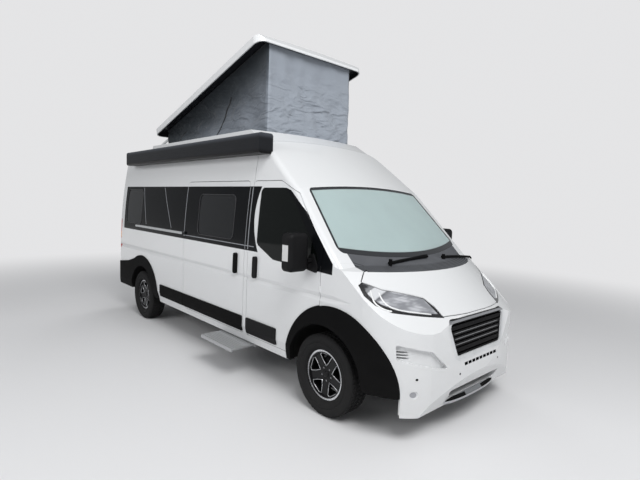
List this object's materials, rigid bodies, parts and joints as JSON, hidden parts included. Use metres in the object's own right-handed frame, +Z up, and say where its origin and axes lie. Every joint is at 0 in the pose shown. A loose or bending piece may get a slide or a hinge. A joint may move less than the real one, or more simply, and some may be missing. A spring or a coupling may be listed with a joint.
{
  "type": "camper van",
  "caption": "Panel-van camper with a raised pop roof on a fabric tent, opening doors and bonnet, steered front wheels, a side awning case and a sliding entry step.",
  "frame": {"origin": "centre of the overall box, on the ground under the tyres", "axes": "+X forward, +Y to the vehicle's left, +Z up"},
  "size_m": [5.998, 2.56, 3.6692],
  "materials": {
    "white_paint": "gloss",
    "black_plastic": "matte",
    "black_gloss": "gloss",
    "glass": "gloss",
    "screen_glass": "gloss",
    "silver_trim": "satin",
    "lamp": "gloss",
    "tail_lamp": "gloss",
    "grey_plastic": "satin",
    "tent_fabric": "matte",
    "tyre": "matte",
    "alloy": "satin",
    "steel": "satin",
    "chassis": "matte",
    "cast": "matte",
    "seat_fabric": "matte",
    "wood": "satin",
    "roof_grp": "gloss",
    "awning_alu": "satin"
  },
  "bodies": {
    "body": {"floor": "chassis", "engine": "cast", "body_side_right": "white_paint", "body_side_left": "white_paint", "front_wings": "white_paint", "cab_frame": "white_paint", "roof_panel": "white_paint", "roof_base": "roof_grp", "scuttle": "black_plastic", "windscreen": "screen_glass", "fixed_panes": "glass", "sliding_door": "white_paint", "front_bumper": "roof_grp", "grille": "black_plastic", "grille_surround": "silver_trim", "front_lamps": "lamp", "side_claddings": "black_plastic", "rear_bumper": "black_plastic", "tail_lamps": "tail_lamp", "wipers": "black_plastic", "awning_case": "awning_alu", "dashboard": "grey_plastic", "front_seats": "seat_fabric", "furniture": "wood", "steering_wheel": "black_plastic", "exhaust": "steel", "fuel_tank": "black_plastic", "front_suspension": "chassis", "rear_axle": "chassis", "leaf_springs": "steel", "wheel_liners": "black_plastic", "step_frame": "silver_trim", "tent": "tent_fabric"},
    "bonnet": {"bonnet": "white_paint"},
    "pop_roof": {"pop_roof": "roof_grp"},
    "step": {"step_tread": "silver_trim"},
    "cab_door_right": {"cab_door_right": "white_paint", "cab_pane_right": "glass", "cab_trim_right": "black_plastic"},
    "rear_door_right": {"rear_door_right": "white_paint", "rear_pane_right": "glass"},
    "knuckle_right": {"knuckle_right": "cast"},
    "cab_door_left": {"cab_door_left": "white_paint", "cab_pane_left": "glass", "cab_trim_left": "black_plastic"},
    "rear_door_left": {"rear_door_left": "white_paint", "rear_pane_left": "glass"},
    "knuckle_left": {"knuckle_left": "cast"},
    "wheel_front_left": {"rim_front_left": "alloy", "tyre_front_left": "tyre"},
    "wheel_front_right": {"rim_front_right": "alloy", "tyre_front_right": "tyre"},
    "wheel_rear_left": {"rim_rear_left": "alloy", "tyre_rear_left": "tyre"},
    "wheel_rear_right": {"rim_rear_right": "alloy", "tyre_rear_right": "tyre"}
  },
  "joints": [
    {"name": "cab_door_right_hinge", "type": "hinge", "parent": "body", "child": "cab_door_right", "pos_m": [2.001, -1.02, 1.2], "axis": [0, 0, 1], "range_deg": [0, 70]},
    {"name": "rear_door_right_hinge", "type": "hinge", "parent": "body", "child": "rear_door_right", "pos_m": [-2.989, -0.873, 1.2], "axis": [0, 0, 1], "range_deg": [0, 180]},
    {"name": "cab_door_left_hinge", "type": "hinge", "parent": "body", "child": "cab_door_left", "pos_m": [2.001, 1.02, 1.2], "axis": [0, 0, -1], "range_deg": [0, 70]},
    {"name": "rear_door_left_hinge", "type": "hinge", "parent": "body", "child": "rear_door_left", "pos_m": [-2.989, 0.873, 1.2], "axis": [0, 0, -1], "range_deg": [0, 180]},
    {"name": "bonnet_hinge", "type": "hinge", "parent": "body", "child": "bonnet", "pos_m": [2.343, 0, 1.296], "axis": [0, -1, 0], "range_deg": [0, 55]},
    {"name": "pop_roof_hinge", "type": "hinge", "parent": "body", "child": "pop_roof", "pos_m": [-2.498, 0, 2.64], "axis": [0, 1, 0], "range_deg": [0, 16.2], "deforming": ["tent"]},
    {"name": "step_slide", "type": "slide", "parent": "body", "child": "step", "axis": [0, 1, 0], "range_m": [0, 0.25]},
    {"name": "steer_left", "type": "hinge", "parent": "body", "child": "knuckle_left", "pos_m": [2.051, 0.75, 0.362], "axis": [0, 0, 1], "range_deg": [-33, 33]},
    {"name": "steer_right", "type": "hinge", "parent": "body", "child": "knuckle_right", "pos_m": [2.051, -0.75, 0.362], "axis": [0, 0, 1], "range_deg": [-33, 33]},
    {"name": "spin_front_left", "type": "hinge", "parent": "knuckle_left", "child": "wheel_front_left", "pos_m": [2.051, 0.905, 0.362], "axis": [0, 1, 0], "continuous": true},
    {"name": "spin_front_right", "type": "hinge", "parent": "knuckle_right", "child": "wheel_front_right", "pos_m": [2.051, -0.905, 0.362], "axis": [0, 1, 0], "continuous": true},
    {"name": "spin_rear_left", "type": "hinge", "parent": "body", "child": "wheel_rear_left", "pos_m": [-1.984, 0.905, 0.362], "axis": [0, 1, 0], "continuous": true},
    {"name": "spin_rear_right", "type": "hinge", "parent": "body", "child": "wheel_rear_right", "pos_m": [-1.984, -0.905, 0.362], "axis": [0, 1, 0], "continuous": true}
  ],
  "couplings": [
    {"joint": "steer_right", "follows": "steer_left", "ratio": 1}
  ]
}
